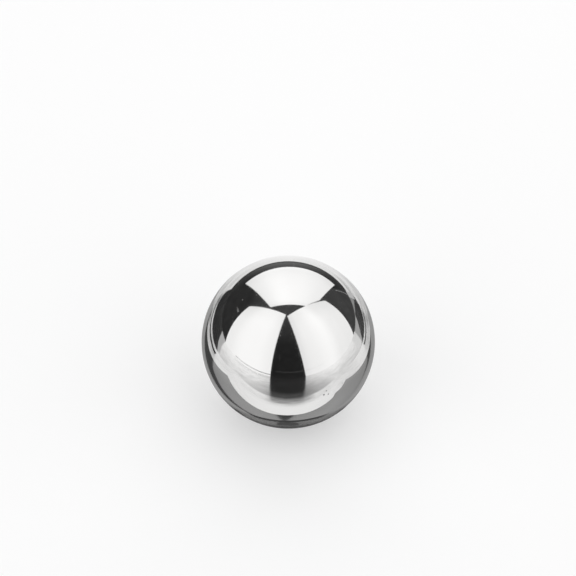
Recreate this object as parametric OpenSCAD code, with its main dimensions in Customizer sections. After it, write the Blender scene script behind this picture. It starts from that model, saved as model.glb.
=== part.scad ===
// Steel ball: one solid ball, ground and lapped to a mirror from a single steel blank.
// Units are millimetres. The origin is the centre of the ball and +Z points up.

/* [Ball] */
// Diameter of the ball
ball_d = 25.4; // [3:0.1:60]

/* [Hidden] */
// Flats that the preview draws round the equator
preview_flats = 180;

// The ball is a full sphere: it has no flat, seam, bore or mark
module ball() {
    color("gainsboro")
        sphere(d = ball_d, $fn = preview_flats);
}

ball();
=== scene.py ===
"""Looks of one mirror-polished steel ball, and the small studio that it is shown in.

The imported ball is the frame: the dressed ball takes its place and its radius from it. The studio
has a pale floor, a white background, three softboxes and a long-lens camera. Polished steel shows
little but its surroundings, so the studio also has dark and grey cards round the ball. The cards
are seen only in reflections: they shade nothing, and the camera doesn't see them.

Everything is in metres. +Z is up, -Y is towards the camera, and the ball's centre is the origin.
An azimuth of 0 degrees is towards the camera, and it grows towards +X.
"""

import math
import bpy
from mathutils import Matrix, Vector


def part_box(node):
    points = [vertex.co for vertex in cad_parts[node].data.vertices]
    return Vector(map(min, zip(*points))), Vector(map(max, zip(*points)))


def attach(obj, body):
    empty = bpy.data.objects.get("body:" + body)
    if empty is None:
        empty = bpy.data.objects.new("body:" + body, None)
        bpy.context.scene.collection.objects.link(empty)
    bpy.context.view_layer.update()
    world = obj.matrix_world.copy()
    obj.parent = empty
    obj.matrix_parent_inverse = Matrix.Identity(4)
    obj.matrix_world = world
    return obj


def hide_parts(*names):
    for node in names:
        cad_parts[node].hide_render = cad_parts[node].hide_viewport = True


bl_info = {
    "name": "Polished Steel Ball",
    "version": (1, 0, 0),
    "blender": (4, 5, 0),
    "location": "View3D > Sidebar > Steel Ball",
    "description": "Dresses a packed steel ball and sets up its studio",
    "category": "Object",
}

from collections import namedtuple

import bpy
import numpy as np
from bpy.props import FloatProperty, FloatVectorProperty, IntProperty, PointerProperty
from bpy.types import Operator, Panel, PropertyGroup
from mathutils import Matrix, Vector

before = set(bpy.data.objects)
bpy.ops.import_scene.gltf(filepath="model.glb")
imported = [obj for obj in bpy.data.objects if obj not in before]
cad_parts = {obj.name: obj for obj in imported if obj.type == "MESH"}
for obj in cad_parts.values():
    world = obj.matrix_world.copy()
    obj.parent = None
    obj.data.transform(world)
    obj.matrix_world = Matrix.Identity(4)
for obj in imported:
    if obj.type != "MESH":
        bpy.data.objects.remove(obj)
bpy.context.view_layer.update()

BALL_LOW, BALL_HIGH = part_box("ball")
BALL_CENTRE = Vector((0.0, 0.0, (BALL_LOW.z + BALL_HIGH.z) / 2))
BALL_RADIUS = (BALL_HIGH.z - BALL_LOW.z) / 2
FLOOR_Z = BALL_LOW.z
# The table lies just above the floor, the plate just above the table, and the sheets on top
TABLE_Z, PLATE_Z, SHEET_Z = (FLOOR_Z + layer * 0.00002 for layer in (1, 2, 3))
WHITE = (1.0, 1.0, 1.0, 1.0)

# A softbox is a flat panel that leans towards the ball. Its middle line stands at azimuth and
# points at the ball's centre from distance away, leaning back by lean and turned in its own
# plane by roll, in degrees. Its edges are in metres from that line, seen from the ball. Glow is
# its brightness next to the other softboxes, and across and upward give it at places from 0 to 1
# along its width and its height. Cut is the height at its left edge, and the rise to the right,
# of the line above which it is hidden.
Softbox = namedtuple(
    "Softbox", "name azimuth lean roll distance left right low high glow across upward cut"
)
SOFTBOXES = (
    Softbox(
        "softbox_left", -30.0, 23.6, 3.5, 0.53, -1.076, 0.072, -0.252, 0.885, 1.0,
        ((0.25, 0.89), (0.65, 1.0), (0.82, 1.0), (1.0, 0.92)),
        ((0.0, 1.0), (0.55, 1.0), (0.9, 0.93)),
        None,
    ),
    Softbox(
        "softbox_right", 38.6, 24.4, -3.4, 0.53, -0.171, 1.079, -0.266, 0.891, 1.0,
        ((0.0, 0.83), (0.12, 0.92), (0.3, 1.0), (0.48, 0.88), (0.7, 0.85)),
        ((0.0, 0.97), (0.5, 1.0), (0.9, 0.93)),
        None,
    ),
    Softbox(
        "softbox_back", 180.2, 33.6, 3.2, 0.63, -0.491, 0.421, -0.215, 0.725, 1.02,
        ((0.0, 0.85), (0.45, 0.97), (0.65, 1.0), (1.0, 0.86)),
        ((0.0, 0.93), (0.35, 1.0), (0.8, 1.0), (1.0, 0.93)),
        (0.66, 1.79),
    ),
)

# Marks on the ball: an azimuth and an elevation in degrees, and a radius in metres
SPECKS = (
    (24.1, 5.3, 0.00019),
    (27.3, 4.5, 0.00015),
    (26.0, 8.0, 0.00015),
    (38.5, 8.1, 0.0001),
    (-76.3, 57.5, 0.00013),
    (-8.2, 51.0, 0.00008),
    (-70.5, 67.6, 0.00008),
)
SMEARS = (
    (-71.4, 52.1, 0.00022),
    (-69.7, 51.9, 0.00022),
    (-68.0, 51.6, 0.00022),
    (-66.3, 51.4, 0.00022),
)

# Painted shade on the pale sheet: soft patches where the dark table is laid over it. Each has its
# middle at an azimuth in degrees and a distance in radii of the ball, a spread in each, and a
# strength.
PAINTED_SHADE_PATCHES = (
    (-93.0, 9.0, 3.2, 0.6, 0.25),
    (-108.0, 12.0, 3.9, 1.0, 0.3),
    (-137.5, 6.0, 5.5, 1.3, 0.65),
    (-131.0, 8.0, 3.6, 0.28, 0.6),
    (-149.0, 6.0, 4.3, 0.9, 0.25),
    (-150.0, 8.0, 9.5, 3.0, 0.15),
    (-61.0, 12.0, 3.1, 0.7, 0.12),
    (62.0, 22.0, 2.9, 0.8, 0.2),
    (107.0, 10.0, 3.1, 0.6, 0.22),
    (124.0, 8.0, 4.9, 1.0, 0.4),
    (128.0, 8.0, 3.3, 0.4, 0.45),
    (138.0, 6.0, 4.5, 0.7, 0.35),
    (147.0, 6.0, 3.8, 0.6, 0.12),
    (154.0, 5.0, 3.7, 0.5, 0.2),
    (143.0, 6.0, 10.0, 4.0, 0.32),
    (151.0, 5.0, 10.0, 3.0, 0.2),
)


# ---------------------------------------------------------------- settings


class BallSettings(PropertyGroup):
    """The finish of the ball."""

    cells: IntProperty(
        name="Cells",
        description="Squares along each edge of the six patches that make the sphere",
        default=96,
        min=8,
        max=128,
    )
    steel: FloatVectorProperty(
        name="Steel",
        description="Colour of the polished steel",
        subtype="COLOR",
        default=(0.8, 0.796, 0.79),
        min=0.0,
        max=1.0,
    )
    polish: FloatProperty(
        name="Polish",
        description="Roughness of the clean polished surface",
        subtype="FACTOR",
        default=0.04,
        min=0.0,
        max=1.0,
    )


class StudioSettings(PropertyGroup):
    """The camera, the light and the ground of the studio."""

    view_height: FloatProperty(
        name="View Height",
        description="How steeply the camera looks down",
        subtype="ANGLE",
        unit="ROTATION",
        default=math.radians(46.5),
        min=0.0,
        max=math.radians(90.0),
    )
    view_distance: FloatProperty(
        name="View Distance",
        description="From the camera to the point that it aims at",
        subtype="DISTANCE",
        unit="LENGTH",
        default=0.7836,
        min=0.1,
    )
    aim_left: FloatProperty(
        name="Aim Left",
        description="How far to the left of the ball's centre the camera aims",
        subtype="DISTANCE",
        unit="LENGTH",
        default=0.00004,
    )
    aim_behind: FloatProperty(
        name="Aim Behind",
        description="How far behind the ball's centre the camera aims",
        subtype="DISTANCE",
        unit="LENGTH",
        default=0.0109,
    )
    lens: FloatProperty(
        name="Lens",
        description="Focal length of the camera",
        unit="CAMERA",
        default=331.0,
        min=10.0,
    )
    glow: FloatProperty(
        name="Softbox Glow",
        description="How bright a softbox looks, where 1 is white",
        default=1.17,
        min=0.0,
    )
    ambient: FloatProperty(
        name="Ambient",
        description="How strongly the white surroundings light the floor",
        default=0.22,
        min=0.0,
    )
    floor: FloatVectorProperty(
        name="Floor",
        description="Colour of the floor",
        subtype="COLOR",
        default=(0.92, 0.92, 0.92),
        min=0.0,
        max=1.0,
    )


# ---------------------------------------------------------------- meshes


def ball_surface(radius, cells):
    """Points and square faces of a sphere, made of six curved patches.

    Each side of a cube carries a lattice of cells by cells squares. A place i on the lattice
    becomes tan((i / cells - 1/2) * pi / 2), which spaces the rows at equal angles, and the point
    is then pushed along its line from the centre until it is radius away.
    """
    steps = np.arange(cells)
    across, along = (grid.ravel() for grid in np.meshgrid(steps, steps))
    corners = ((0, 0), (1, 0), (1, 1), (0, 1))
    squares = []
    for first in range(3):
        second, outward = (first + 1) % 3, (first + 2) % 3
        for level, order in ((0, corners[::-1]), (cells, corners)):
            square = np.empty((cells * cells, 4, 3), int)
            for place, (right, up) in enumerate(order):
                square[:, place, first] = across + right
                square[:, place, second] = along + up
                square[:, place, outward] = level
            squares.append(square)
    lattice, faces = np.unique(np.concatenate(squares).reshape(-1, 3), axis=0, return_inverse=True)
    points = np.tan((lattice / cells - 0.5) * math.pi / 2)
    points *= radius / np.linalg.norm(points, axis=1, keepdims=True)
    return points, faces.reshape(-1, 4)


def grid_faces(rows, columns):
    """Square faces between neighbouring points of a grid that is stored row by row."""
    corner = (np.arange(rows - 1)[:, None] * columns + np.arange(columns - 1)).ravel()
    return np.stack([corner, corner + 1, corner + columns + 1, corner + columns], axis=1)


def new_mesh_object(name, points, faces, material):
    """A mesh object in the scene, with its place in its mesh."""
    mesh = bpy.data.meshes.new(name)
    mesh.from_pydata(points.tolist(), [], faces.tolist())
    mesh.materials.append(material)
    mesh.update()
    piece = bpy.data.objects.new(name, mesh)
    bpy.context.scene.collection.objects.link(piece)
    return piece


def direction(azimuth, elevation):
    """Unit vectors (sin a cos e, -cos a cos e, sin e) at azimuths a and elevations e in radians."""
    azimuth, elevation = np.broadcast_arrays(azimuth, elevation)
    level = np.cos(elevation)
    return np.stack(
        [np.sin(azimuth) * level, -np.cos(azimuth) * level, np.sin(elevation)], axis=-1
    )


# ---------------------------------------------------------------- materials


def new_material(name):
    """An empty node material and its node tree."""
    material = bpy.data.materials.new(name)
    material.use_nodes = True
    material.node_tree.nodes.clear()
    return material, material.node_tree


def add_node(tree, kind, inputs=(), **settings):
    """A node of that kind, with its settings, and with its inputs set or linked by name."""
    node = tree.nodes.new(kind)
    for name, value in settings.items():
        setattr(node, name, value)
    for name, value in dict(inputs).items():
        if isinstance(value, bpy.types.NodeSocket):
            tree.links.new(value, node.inputs[name])
        else:
            node.inputs[name].default_value = value
    return node


def finish_material(material, shader):
    """Shows the shader on the material. Any glow in it is seen but isn't used as a lamp."""
    output = add_node(material.node_tree, "ShaderNodeOutputMaterial")
    material.node_tree.links.new(shader.outputs[0], output.inputs["Surface"])
    material.cycles.emission_sampling = "NONE"
    return material


def math_node(tree, operation, first, second=0.0, third=0.0):
    """The output of a Math node of up to three numbers or sockets."""
    inputs = {0: first, 1: second, 2: third}
    return add_node(tree, "ShaderNodeMath", inputs, operation=operation).outputs[0]


def mix_colour(tree, share, first, second):
    """A blend of two colours, which is all the second where share is 1.

    A Mix node has sockets for every kind of value. Those for colours are inputs 6 and 7 and
    output 2.
    """
    inputs = {0: share, 6: first, 7: second}
    return add_node(tree, "ShaderNodeMix", inputs, data_type="RGBA").outputs[2]


def mix_shaders(tree, share, first, second):
    """A blend of two shaders, which is all the second where share is 1."""
    inputs = {0: share, 1: first.outputs[0], 2: second.outputs[0]}
    return add_node(tree, "ShaderNodeMixShader", inputs)


def add_glow(tree, strength):
    """A shader that gives off white light."""
    return add_node(tree, "ShaderNodeEmission", {"Strength": strength})


def glossy_grey(tree, grey, roughness, sheen):
    """A matt grey that shows a white gloss in its place by as much as sheen."""
    matt = add_node(tree, "ShaderNodeBsdfDiffuse", {"Color": (grey, grey, grey, 1.0)})
    gloss = add_node(tree, "ShaderNodeBsdfGlossy", {"Color": WHITE, "Roughness": roughness})
    return mix_shaders(tree, sheen, matt, gloss)


def object_place(tree):
    """The place of a point in its object, and the same as three numbers."""
    place = add_node(tree, "ShaderNodeTexCoord").outputs["Object"]
    return place, add_node(tree, "ShaderNodeSeparateXYZ", {"Vector": place}).outputs


def gap_to(tree, place, point):
    """How far a place is from a point, in metres."""
    node = add_node(tree, "ShaderNodeVectorMath", {0: place, 1: point}, operation="DISTANCE")
    return node.outputs["Value"]


def ramp(tree, value, points):
    """A number that runs smoothly through points, which are pairs of a place and a level."""
    node = add_node(tree, "ShaderNodeValToRGB", {"Fac": value})
    stops = node.color_ramp
    stops.interpolation = "EASE"
    for place, level in points[1:-1]:
        stops.elements.new(place).color = (level, level, level, 1.0)
    for stop, (place, level) in ((stops.elements[0], points[0]), (stops.elements[-1], points[-1])):
        stop.position = place
        stop.color = (level, level, level, 1.0)
    return node.outputs["Color"]


def map_range(tree, value, low, high, to_low, to_high):
    """A number carried smoothly from one range to another."""
    node = add_node(
        tree,
        "ShaderNodeMapRange",
        {"Value": value, "From Min": low, "From Max": high, "To Min": to_low, "To Max": to_high},
        interpolation_type="SMOOTHSTEP",
    )
    return node.outputs["Result"]


def noise(tree, place, scale, detail=3.0, roughness=0.5):
    """The grey value of a Noise texture at a place."""
    node = add_node(
        tree,
        "ShaderNodeTexNoise",
        {"Vector": place, "Scale": scale, "Detail": detail, "Roughness": roughness},
    )
    return node.outputs["Fac"]


def spots(tree, place, marks):
    """1 on the round marks and 0 elsewhere, with soft edges."""
    total = 0.0
    for azimuth, elevation, radius in marks:
        outward = Vector(direction(math.radians(azimuth), math.radians(elevation)).tolist())
        gap = gap_to(tree, place, BALL_CENTRE + outward * BALL_RADIUS)
        spot = map_range(tree, gap, 0.4 * radius, radius, 1.0, 0.0)
        total = math_node(tree, "MAXIMUM", total, spot)
    return total


def dust(tree, place):
    """1 on fine grains of dust, which lie in one in six cells of a millimetre and a half."""
    cells = add_node(
        tree, "ShaderNodeTexVoronoi", {"Vector": place, "Scale": 650.0}, feature="F1"
    ).outputs
    grain = map_range(tree, cells["Distance"], 0.015, 0.035, 1.0, 0.0)
    chosen = add_node(tree, "ShaderNodeSeparateColor", {"Color": cells["Color"]}).outputs["Red"]
    return math_node(tree, "MULTIPLY", grain, math_node(tree, "LESS_THAN", chosen, 0.17))


def hairlines(tree, place, turn, seed):
    """1 on a few long hair-fine scratches that all run one way."""
    turned = add_node(
        tree,
        "ShaderNodeMapping",
        {
            "Vector": place,
            "Location": (seed, seed, seed),
            "Rotation": turn,
            "Scale": (9000.0, 90.0, 90.0),
        },
    ).outputs["Vector"]
    grain = noise(tree, turned, 1.0, 1.0)
    return map_range(tree, grain, 0.74, 0.8, 0.0, 1.0)


def polished_steel(settings):
    """Lapped steel: a near mirror with a faint haze, a few specks and hair-fine scratches."""
    material, tree = new_material("polished_steel")
    place = add_node(tree, "ShaderNodeTexCoord").outputs["Object"]
    clean, hazy, dirty = (
        (*(level * part for part in settings.steel), 1.0) for level in (1.0, 0.97, 0.4)
    )
    haze = noise(tree, place, 160.0, 4.0, 0.55)
    grains = math_node(tree, "MAXIMUM", spots(tree, place, SPECKS), dust(tree, place))
    colour = mix_colour(tree, grains, mix_colour(tree, haze, clean, hazy), dirty)
    roughness = map_range(tree, haze, 0.3, 0.7, settings.polish, settings.polish + 0.03)
    smears = math_node(tree, "MULTIPLY", spots(tree, place, SMEARS), 0.2)
    lines = math_node(
        tree,
        "ADD",
        hairlines(tree, place, (0.3, 0.5, 0.9), 0.2),
        hairlines(tree, place, (1.1, -0.4, 2.2), 0.7),
    )
    marks = math_node(tree, "ADD", smears, math_node(tree, "MULTIPLY", lines, 0.12))
    marks = math_node(tree, "ADD", marks, math_node(tree, "MULTIPLY", grains, 0.6))
    shader = add_node(
        tree,
        "ShaderNodeBsdfPrincipled",
        {
            "Base Color": colour,
            "Metallic": 1.0,
            "Roughness": math_node(tree, "ADD", roughness, marks),
        },
    )
    return finish_material(material, shader)


def plain_glow(name, strength):
    """Plain card that gives off a faint even light."""
    material, tree = new_material(name)
    return finish_material(material, add_glow(tree, strength))


# ---------------------------------------------------------------- the ball


def make_ball(settings):
    """The dressed ball: a smooth sphere with exact normals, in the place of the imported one."""
    points, faces = ball_surface(BALL_RADIUS, settings.cells)
    piece = new_mesh_object(
        "steel_ball", points + np.array(BALL_CENTRE), faces, polished_steel(settings)
    )
    piece.data.shade_smooth()
    piece.data.normals_split_custom_set_from_vertices((points / BALL_RADIUS).tolist())
    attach(piece, "root")
    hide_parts("ball")


# ---------------------------------------------------------------- the studio


def make_camera(studio):
    """A long-lens camera that looks down at the ball from the front."""
    camera = bpy.data.cameras.new("camera")
    camera.lens = studio.lens
    camera.clip_start = 0.01
    camera.clip_end = 10.0
    stand = bpy.data.objects.new("camera", camera)
    bpy.context.scene.collection.objects.link(stand)
    back = Vector(direction(0.0, studio.view_height).tolist())
    aim = Vector((-studio.aim_left, studio.aim_behind, 0.0))
    stand.location = aim + back * studio.view_distance
    stand.rotation_euler = back.to_track_quat("Z", "Y").to_euler()
    bpy.context.scene.camera = stand


def make_world(studio):
    """White surroundings: white where they are seen or mirrored, and dimmer as a light."""
    world = bpy.data.worlds.new("studio")
    world.use_nodes = True
    tree = world.node_tree
    tree.nodes.clear()
    path = add_node(tree, "ShaderNodeLightPath").outputs
    seen = math_node(tree, "MAXIMUM", path["Is Camera Ray"], path["Is Glossy Ray"])
    seen = math_node(tree, "MAXIMUM", seen, path["Is Transmission Ray"])
    strength = add_node(
        tree,
        "ShaderNodeMapRange",
        {"Value": seen, "To Min": studio.ambient, "To Max": 1.0},
    )
    sky = add_node(
        tree,
        "ShaderNodeBackground",
        {"Color": WHITE, "Strength": strength.outputs["Result"]},
    )
    output = add_node(tree, "ShaderNodeOutputWorld")
    tree.links.new(sky.outputs[0], output.inputs["Surface"])
    bpy.context.scene.world = world


def softbox_axes(box):
    """The right, up and outward directions of a softbox, as seen from the ball."""
    azimuth, lean, roll = (math.radians(a) for a in (box.azimuth, box.lean, box.roll))
    outward = Vector(direction(azimuth, lean).tolist())
    side = Vector((0.0, 0.0, 1.0)).cross(outward).normalized()
    up = outward.cross(side)
    right = math.cos(roll) * side + math.sin(roll) * up
    high = math.cos(roll) * up - math.sin(roll) * side
    return right, high, outward


def softbox_glow(lamp, box):
    """Lets the glow of a panel fall off towards its edges, and hides its cut corner."""
    lamp.use_nodes = True
    tree = lamp.node_tree
    tree.nodes.clear()
    place = add_node(tree, "ShaderNodeNewGeometry").outputs["Parametric"]
    parts = add_node(tree, "ShaderNodeSeparateXYZ", {"Vector": place}).outputs
    strength = math_node(
        tree,
        "MULTIPLY",
        ramp(tree, parts["X"], box.across),
        ramp(tree, parts["Y"], box.upward),
    )
    if box.cut:
        line = math_node(tree, "MULTIPLY_ADD", parts["X"], box.cut[1], third=box.cut[0])
        below = math_node(tree, "SUBTRACT", line, parts["Y"])
        seen = map_range(tree, below, -0.01, 0.01, 0.0, 1.0)
        strength = math_node(tree, "MULTIPLY", strength, seen)
    output = add_node(tree, "ShaderNodeOutputLight")
    tree.links.new(add_glow(tree, strength).outputs[0], output.inputs["Surface"])


def make_softbox(box, studio):
    """A flat panel of light whose glow falls off a little towards its edges.

    The power is pi times the area times the glow, which makes the panel look that bright.
    """
    right, high, outward = softbox_axes(box)
    width, height = box.right - box.left, box.high - box.low
    lamp = bpy.data.lights.new(box.name, "AREA")
    lamp.shape = "RECTANGLE"
    lamp.size = width
    lamp.size_y = height
    lamp.energy = math.pi * width * height * studio.glow * box.glow
    softbox_glow(lamp, box)
    stand = bpy.data.objects.new(box.name, lamp)
    bpy.context.scene.collection.objects.link(stand)
    middle = (
        outward * box.distance
        + right * (box.left + box.right) / 2
        + high * (box.low + box.high) / 2
    )
    turn = Matrix((right, high, outward)).transposed().to_4x4()
    stand.matrix_world = Matrix.Translation(middle) @ turn
    stand.visible_camera = False


def make_card(name, points, faces, material):
    """A stage card that only reflections see."""
    card = new_mesh_object(name, points, faces, material)
    card.visible_camera = False
    card.visible_diffuse = False
    card.visible_shadow = False
    return card


def make_grid_card(name, points, material):
    """A stage card of squares between rows of points, from an array of rows by columns by 3."""
    rows, columns = points.shape[:2]
    return make_card(name, points.reshape(-1, 3), grid_faces(rows, columns), material)


def floor_material(colour):
    """Matt floor that shows white through its colour, so that its shadow stays soft.

    Two fifths of what the camera sees is plain white, and most of what a reflection sees. None of
    it lights the ball.
    """
    material, tree = new_material("pale_floor")
    path = add_node(tree, "ShaderNodeLightPath").outputs
    mirrored = math_node(tree, "MAXIMUM", path["Is Glossy Ray"], path["Is Transmission Ray"])
    matt = add_node(tree, "ShaderNodeBsdfDiffuse", {"Color": (*colour, 1.0)})
    part = math_node(tree, "MULTIPLY", path["Is Camera Ray"], 0.4)
    part = math_node(tree, "MULTIPLY_ADD", mirrored, 0.9, third=part)
    return finish_material(material, mix_shaders(tree, part, matt, add_glow(tree, 1.0)))


def make_floor(studio):
    """The pale round floor that the ball stands on: reach times the direction of each azimuth."""
    reach = 0.62
    azimuth = np.linspace(0.0, 2 * math.pi, 128, endpoint=False)
    points = reach * direction(azimuth, 0.0)
    points[:, 2] = FLOOR_Z
    faces = np.arange(len(points))[None, :]
    floor = new_mesh_object("floor", points, faces, floor_material(studio.floor))


def drape_material():
    """Dark cloth that gives off a faint light, more of it overhead and on the right, less ahead."""
    material, tree = new_material("dark_drape")
    place, parts = object_place(tree)
    overhead = map_range(tree, parts["Z"], 1.15, 1.95, 0.03, 0.062)
    rightward = map_range(tree, parts["X"], 0.3, 1.4, 0.0, 0.03)
    ahead = map_range(tree, parts["Y"], -0.9, -0.1, 0.6, 1.0)
    strength = math_node(tree, "ADD", overhead, rightward)
    strength = math_node(tree, "MULTIPLY", strength, ahead)
    # Painted light and shade of folds: a noise makes the glow uneven
    fold_shading = math_node(tree, "MULTIPLY_ADD", noise(tree, place, 4.0, 5.0), 0.8, third=0.6)
    strength = math_node(tree, "MULTIPLY", strength, fold_shading)
    return finish_material(material, add_glow(tree, strength))


def make_drape():
    """A dark dome over the studio, which the ball mirrors between the softboxes.

    A point of the dome is radius times the direction of its azimuth and its elevation.
    """
    radius = 2.0
    azimuth = np.linspace(-math.pi, math.pi, 97)
    elevation = np.linspace(-math.radians(6.0), math.pi / 2, 33)
    points = radius * direction(*np.meshgrid(azimuth, elevation))
    make_grid_card("drape", points, drape_material())


def table_material():
    """Dark satin that mirrors more at a flat angle. Two attributes make it thinner and duller.

    Where it is thin it lies in streaks, level ones ahead and lengthwise ones at the sides, and its
    sheen is a little cloudy.
    """
    material, tree = new_material("dark_satin")
    place, parts = object_place(tree)
    cover = add_node(tree, "ShaderNodeAttribute", attribute_name="cover").outputs["Fac"]
    shine = add_node(tree, "ShaderNodeAttribute", attribute_name="shine").outputs["Fac"]
    level = add_node(tree, "ShaderNodeMapping", {"Vector": place, "Scale": (150.0, 900.0, 1.0)})
    upright = add_node(tree, "ShaderNodeMapping", {"Vector": place, "Scale": (900.0, 120.0, 1.0)})
    ahead = noise(tree, level.outputs["Vector"], 1.0)
    beside = noise(tree, upright.outputs["Vector"], 1.0)
    aside = map_range(tree, math_node(tree, "ABSOLUTE", parts["X"]), 0.026, 0.036, 0.0, 1.0)
    change = math_node(tree, "SUBTRACT", beside, ahead)
    blotches = math_node(tree, "MULTIPLY_ADD", change, aside, third=ahead)
    blotches = math_node(tree, "SUBTRACT", blotches, 0.5)
    thin = math_node(tree, "MULTIPLY", cover, math_node(tree, "SUBTRACT", 1.0, cover))
    patchy = math_node(tree, "MULTIPLY", thin, 3.2)
    cover = math_node(tree, "MULTIPLY_ADD", blotches, patchy, third=cover)
    clouds = math_node(tree, "SUBTRACT", noise(tree, place, 70.0), 0.5)
    cloudy = math_node(tree, "MULTIPLY_ADD", clouds, 0.5, third=1.0)
    shine = math_node(tree, "MULTIPLY", shine, cloudy)
    facing = add_node(tree, "ShaderNodeLayerWeight", {"Blend": 0.5}).outputs["Facing"]
    satin = glossy_grey(tree, 0.028, 0.15, math_node(tree, "MULTIPLY", facing, shine))
    nothing = add_node(tree, "ShaderNodeBsdfTransparent")
    return finish_material(material, mix_shaders(tree, cover, nothing, satin))


def table_edge(turn):
    """Where the table starts, in radii of the ball, at azimuths in degrees.

    In front and at the sides that is the outline of the pale sheet, 2.75 radii ahead and 4.5
    radii to each side. Behind, the sheet spreads out and goes on to 31 radii.
    """
    angle = np.radians(turn)
    ahead = np.maximum(np.cos(angle), 1e-6)
    aside = np.maximum(np.abs(np.sin(angle)), 1e-6)
    front = np.minimum(2.75 / ahead, 4.5 / aside)
    back = np.interp(
        turn,
        (-150.0, -143.0, -142.0, -140.0, -135.0, 134.0, 138.5, 140.0, 141.0),
        (31.0, 29.0, 9.0, 7.2, 6.5, 6.6, 7.6, 12.0, 31.0),
    )
    return np.where((turn > -135) & (turn < 134), front, back)


def table_cover(turn, distance):
    """How much of the table is there, from 0 to 1, at azimuths in degrees and distances in radii.

    In front the table thins out over the outer third of the sheet, at the sides it ends sharply,
    and behind it fades softly. A thin layer of it lies over the sheet as painted shade, strongest
    at the sides. Each shade patch adds
    strength * exp(-((turn - middle) / spread)**2 - ((distance - away) / depth)**2) to that shade.
    """
    ratio = distance / table_edge(turn)
    fading = np.interp(
        ratio,
        (0.63, 0.67, 0.71, 0.76, 0.82, 0.9, 0.96, 1.0, 1.22, 1.28),
        (0.0, 0.05, 0.18, 0.48, 0.64, 0.74, 0.86, 0.95, 0.955, 1.0),
    )
    sharp = np.interp(ratio, (0.98, 1.0), (0.0, 1.0))
    broad = np.interp(ratio, (0.8, 1.25), (0.0, 1.0))
    around = np.abs(turn)
    edge = fading + (sharp - fading) * np.interp(around, (62.0, 85.0), (0.0, 1.0))
    edge = edge + (broad - edge) * np.interp(around, (137.0, 143.0), (0.0, 1.0))
    # Painted shade: a thin layer of the table laid over the pale sheet, strongest at the sides
    painted_shade = np.interp(
        around, (20.0, 45.0, 75.0, 95.0, 140.0, 163.0, 180.0), (0.0, 0.1, 0.2, 0.14, 0.18, 0.1, 0.0)
    )
    near = np.interp(around, (100.0, 140.0, 150.0, 163.0, 175.0), (0.0, 0.35, 0.3, 0.12, 0.0))
    painted_shade = painted_shade + near * np.interp(distance, (2.8, 5.5), (1.0, 0.0))
    for middle, spread, away, depth, strength in PAINTED_SHADE_PATCHES:
        falloff = ((turn - middle) / spread) ** 2 + ((distance - away) / depth) ** 2
        painted_shade = painted_shade + strength * np.exp(-falloff)
    painted_shade = np.minimum(painted_shade, 0.9) * np.interp(distance, (1.2, 1.8), (0.0, 1.0))
    return painted_shade + (1 - painted_shade) * edge


def table_shine(turn, distance):
    """How well the table mirrors: worse in front of the ball and behind it than at its sides.

    The thin layer of painted shade over the sheet mirrors better to the left and the right of the
    front.
    """
    # It mirrors less ahead of the ball, and most of all near it
    dimming = 0.3 + 0.35 * np.exp(-np.maximum(distance - 4.35, 0.0) / 3.0)
    shine = 1 - dimming * np.exp(-(((turn - 5.0) / 28.0) ** 2))
    close = np.interp(distance / table_edge(turn), (0.9, 0.98), (1.0, 0.0))
    lift = np.interp(
        turn,
        (-73.0, -53.0, -34.0, -24.0, -10.0, 14.0, 28.0, 38.0, 57.0),
        (0.0, 0.2, 0.75, 1.2, 0.0, 0.0, 1.35, 0.75, 0.0),
    )
    behind = np.interp(np.abs(turn), (120.0, 140.0), (1.0, 0.5))
    return shine * (1 + lift * close) * behind


def make_table():
    """A dark satin table round the pale sheet that the ball stands on.

    Each row of points lies at an even part of the way from near the ball to the sheet's outline,
    and the last rows run on from there to the table's rim.
    """
    start, rim = 1.2, 57.0
    azimuth = np.linspace(math.pi, -math.pi, 361)
    turn = np.degrees(azimuth)
    edge = table_edge(turn)[None, :]
    inside = start + (0.98 * edge - start) * np.linspace(0.0, 1.0, 27)[:, None]
    outside = edge * np.array([[1.0], [1.04], [1.1], [1.25]])
    steps = np.linspace(0.0, 1.0, 16)[1:, None] ** 2
    distance = np.concatenate([inside, outside, outside[-1:] * (1 - steps) + rim * steps])
    points = direction(azimuth, 0.0)[None, :, :] * distance[..., None] * BALL_RADIUS
    points[..., 2] = TABLE_Z
    table = make_grid_card("table", points, table_material())
    around = np.broadcast_to(turn, distance.shape)
    for name, values in (
        ("cover", table_cover(around, distance)),
        ("shine", table_shine(around, distance)),
    ):
        attribute = table.data.attributes.new(name, "FLOAT", "POINT")
        attribute.data.foreach_set("value", values.ravel().astype(np.float32))


def pad_material():
    """Dark grey plate that mirrors a quarter of the light, and more at a flat angle.

    A faint glow of its own, painted light, keeps it from going black where the ball hides
    the light. Right under the ball it mirrors less and glows more: painted shade that darkens what
    it mirrors there, and painted light that lifts its darkest part.
    """
    material, tree = new_material("grey_plate")
    place = add_node(tree, "ShaderNodeTexCoord").outputs["Object"]
    gap = gap_to(tree, place, (BALL_CENTRE.x, BALL_CENTRE.y, FLOOR_Z))
    rim = (0.93 * BALL_RADIUS, BALL_RADIUS)
    facing = add_node(tree, "ShaderNodeLayerWeight", {"Blend": 0.5}).outputs["Facing"]
    sheen = ramp(tree, facing, ((0.0, 0.275), (0.12, 0.25), (0.3, 0.235), (0.5, 0.29), (1.0, 0.5)))
    # Painted shade and light right under the ball: less mirroring and more glow there
    sheen = math_node(tree, "MULTIPLY", sheen, map_range(tree, gap, *rim, 0.55, 1.0))
    plate = glossy_grey(tree, 0.03, 0.1, sheen)
    glow = add_glow(tree, map_range(tree, gap, *rim, 0.06, 0.03))
    both = add_node(tree, "ShaderNodeAddShader", {0: plate.outputs[0], 1: glow.outputs[0]})
    return finish_material(material, both)


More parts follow.
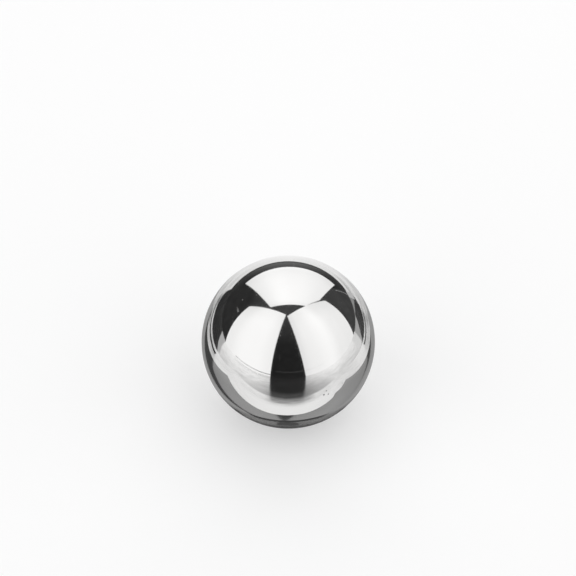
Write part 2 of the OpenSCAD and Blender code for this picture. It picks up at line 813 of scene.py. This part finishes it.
def make_pad():
    """A grey plate right under the ball.

    In radii of the ball, its front edge is at y = -1.34 + 0.08 (x**2 + 0.04)**0.5 - 0.027 x, less
    0.1 exp(-((x - 1.55) / 0.17)**2) where it bulges, and its back edge at y = 2.2 - 0.12 x.
    """
    across = np.linspace(-2.65, 2.4, 121)
    front = -1.34 + 0.08 * np.sqrt(across**2 + 0.04) - 0.027 * across
    front -= 0.1 * np.exp(-(((across - 1.55) / 0.17) ** 2))
    back = 2.2 - 0.12 * across
    edges = [np.stack([across, edge, np.zeros_like(across)], axis=-1) for edge in (front, back)]
    points = np.stack(edges) * BALL_RADIUS
    points[..., 2] = PLATE_Z
    make_grid_card("pad", points, pad_material())


def backdrop_material():
    """Dark grey cloth as painted light: a glow, brighter near the floor, dimmer at its sides."""
    material, tree = new_material("grey_backdrop")
    parts = object_place(tree)[1]
    upright = map_range(tree, parts["Z"], 0.0, 0.5, 0.15, 0.09)
    aside = math_node(tree, "ABSOLUTE", parts["X"])
    strength = math_node(tree, "MULTIPLY", upright, map_range(tree, aside, 0.1, 1.0, 1.0, 0.3))
    return finish_material(material, add_glow(tree, strength))


def make_backdrop():
    """An upright grey cloth behind the back softbox, bent round the ball.

    It runs from the floor up to 20 degrees above the level of the ball's centre.
    """
    radius = 1.8
    azimuth = np.linspace(math.radians(140.0), math.radians(220.0), 51)
    height = np.array([FLOOR_Z, radius * math.tan(math.radians(20.0))])
    around, up = np.meshgrid(azimuth, height)
    points = radius * direction(around, 0.0)
    points[..., 2] = up
    make_grid_card("backdrop", points, backdrop_material())


def make_strip(name, start, end, low, strength):
    """A strip half a metre from the ball, which mirrors as a fine level line or as a post.

    Start and end are pairs of an azimuth and a height in degrees, and the strip's height changes
    evenly between them. Low is the elevation of its lower edge in degrees. Each of its points is
    away times the direction of its azimuth and its elevation.
    """
    away = 0.5
    turn, height = np.linspace(start, end, 25).T
    elevation = np.radians(np.stack([np.full_like(height, low), low + height]))
    points = away * direction(np.radians(turn)[None, :], elevation)
    make_grid_card(name, points, plain_glow(name, strength))


def make_sheet(name, corners, strength):
    """A flat sheet on the table, whose corners are in radii of the ball."""
    points = np.column_stack([corners, np.zeros(len(corners))]) * BALL_RADIUS
    points[:, 2] = SHEET_Z
    make_card(name, points, np.arange(len(corners))[None, :], plain_glow(name, strength))


def make_painted_contact_shadow():
    """A fine dark line on the plate, right below the ball's front edge: painted contact shadow.

    Its middle is 1.005 radii from the centre, and its width is 0.09 radii * (1 - (turn / 42)**4)
    at azimuths in degrees.
    """
    middle, reach = 1.005, 42.0
    turn = np.linspace(-reach, reach, 43)
    width = 0.09 * (1 - (turn / reach) ** 4)
    distance = np.stack([middle - width / 2, middle + width / 2])
    points = direction(np.radians(turn), 0.0)[None, :, :] * distance[..., None] * BALL_RADIUS
    points[..., 2] = SHEET_Z
    make_grid_card("painted_contact_shadow", points, plain_glow("painted_contact_shadow", 0.06))


def make_small_cards():
    """The pale sheets, the fine lines and the thin strips round the ball."""
    # A dark card right under the ball's front edge, as painted contact shadow
    make_painted_contact_shadow()
    make_strip("dark_strip", (-70.0, 0.4), (-20.0, 0.8), 0.4, 0.02)
    make_strip("grey_strip", (-15.0, 0.17), (45.0, 0.11), 6.8, 0.3)
    make_strip("side_strip", (-140.0, 0.12), (-104.0, 0.12), -0.4, 0.3)
    make_strip("stand", (137.2, 17.0), (137.6, 17.0), -0.5, 0.5)
    for name, strength, corners in (
        (
            "left_sheet",
            0.5,
            (
                (-4.9, -0.2), (-4.9, 0.2), (-7.5, 1.0), (-110.0, 26.4),
                (-110.0, 3.0), (-13.0, 0.4), (-7.5, 0.0),
            ),
        ),
        (
            "right_sheet",
            0.42,
            (
                (5.0, 1.0), (11.0, 2.4), (50.0, 11.8), (48.0, 26.0),
                (40.0, 22.9), (9.8, 3.7), (6.2, 1.7), (5.0, 1.2),
            ),
        ),
        (
            "pale_sheet",
            0.8,
            ((4.8, 0.7), (4.8, 0.2), (55.0, 3.0), (55.0, 13.0), (11.0, 2.4), (5.0, 1.0)),
        ),
        (
            "far_sheet",
            0.3,
            ((8.5, 8.2), (14.4, 11.9), (40.3, 22.9), (49.4, 26.3), (42.0, 42.9), (8.7, 8.9)),
        ),
        ("corner_sheet", 0.57, ((5.9, 6.0), (42.0, 42.9), (35.2, 43.5), (5.4, 6.6))),
        # A bright card at the left edge of the pale sheet: a painted highlight along that edge
        ("painted_edge_highlight", 0.9, ((-4.2, 0.3), (-4.05, 0.3), (-3.95, -1.3), (-4.1, -1.3))),
        ("left_line", 0.03, ((-3.83, 0.1), (-3.4, 0.15), (-3.4, 3.6), (-3.83, 3.4))),
        ("right_line", 0.12, ((3.5, 0.75), (3.95, 0.75), (4.0, 3.0), (3.55, 3.0))),
    ):
        make_sheet(name, corners, strength)


def make_studio(studio):
    """The camera, the lamps, the floor and the cards."""
    make_camera(studio)
    make_world(studio)
    for box in SOFTBOXES:
        make_softbox(box, studio)
    make_floor(studio)
    make_drape()
    make_table()
    make_pad()
    make_backdrop()
    make_small_cards()
    bpy.context.scene.view_settings.view_transform = "Standard"


# ---------------------------------------------------------------- operators and panel


class STEELBALL_OT_add_ball(Operator):
    """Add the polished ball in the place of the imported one"""

    bl_idname = "steelball.add_ball"
    bl_label = "Add Ball"

    def execute(self, context):
        make_ball(context.scene.ball_settings)
        return {"FINISHED"}


class STEELBALL_OT_add_studio(Operator):
    """Add the camera, the softboxes, the floor and the cards"""

    bl_idname = "steelball.add_studio"
    bl_label = "Add Studio"

    def execute(self, context):
        make_studio(context.scene.studio_settings)
        return {"FINISHED"}


class VIEW3D_PT_steel_ball(Panel):
    """Lists the settings and the operators"""

    bl_label = "Steel Ball"
    bl_idname = "VIEW3D_PT_steel_ball"
    bl_space_type = "VIEW_3D"
    bl_region_type = "UI"
    bl_category = "Steel Ball"

    def draw(self, context):
        for settings, action in (
            (context.scene.ball_settings, STEELBALL_OT_add_ball.bl_idname),
            (context.scene.studio_settings, STEELBALL_OT_add_studio.bl_idname),
        ):
            box = self.layout.box()
            for name in settings.__annotations__:
                box.prop(settings, name)
            box.operator(action)


CLASSES = (
    BallSettings,
    StudioSettings,
    STEELBALL_OT_add_ball,
    STEELBALL_OT_add_studio,
    VIEW3D_PT_steel_ball,
)


def register():
    for item in CLASSES:
        bpy.utils.register_class(item)
    bpy.types.Scene.ball_settings = PointerProperty(type=BallSettings)
    bpy.types.Scene.studio_settings = PointerProperty(type=StudioSettings)


def unregister():
    del bpy.types.Scene.studio_settings
    del bpy.types.Scene.ball_settings
    for item in reversed(CLASSES):
        bpy.utils.unregister_class(item)


def main():
    """Registers the add-on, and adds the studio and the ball."""
    register()
    bpy.ops.steelball.add_studio()
    bpy.ops.steelball.add_ball()


if __name__ == "__main__":
    main()
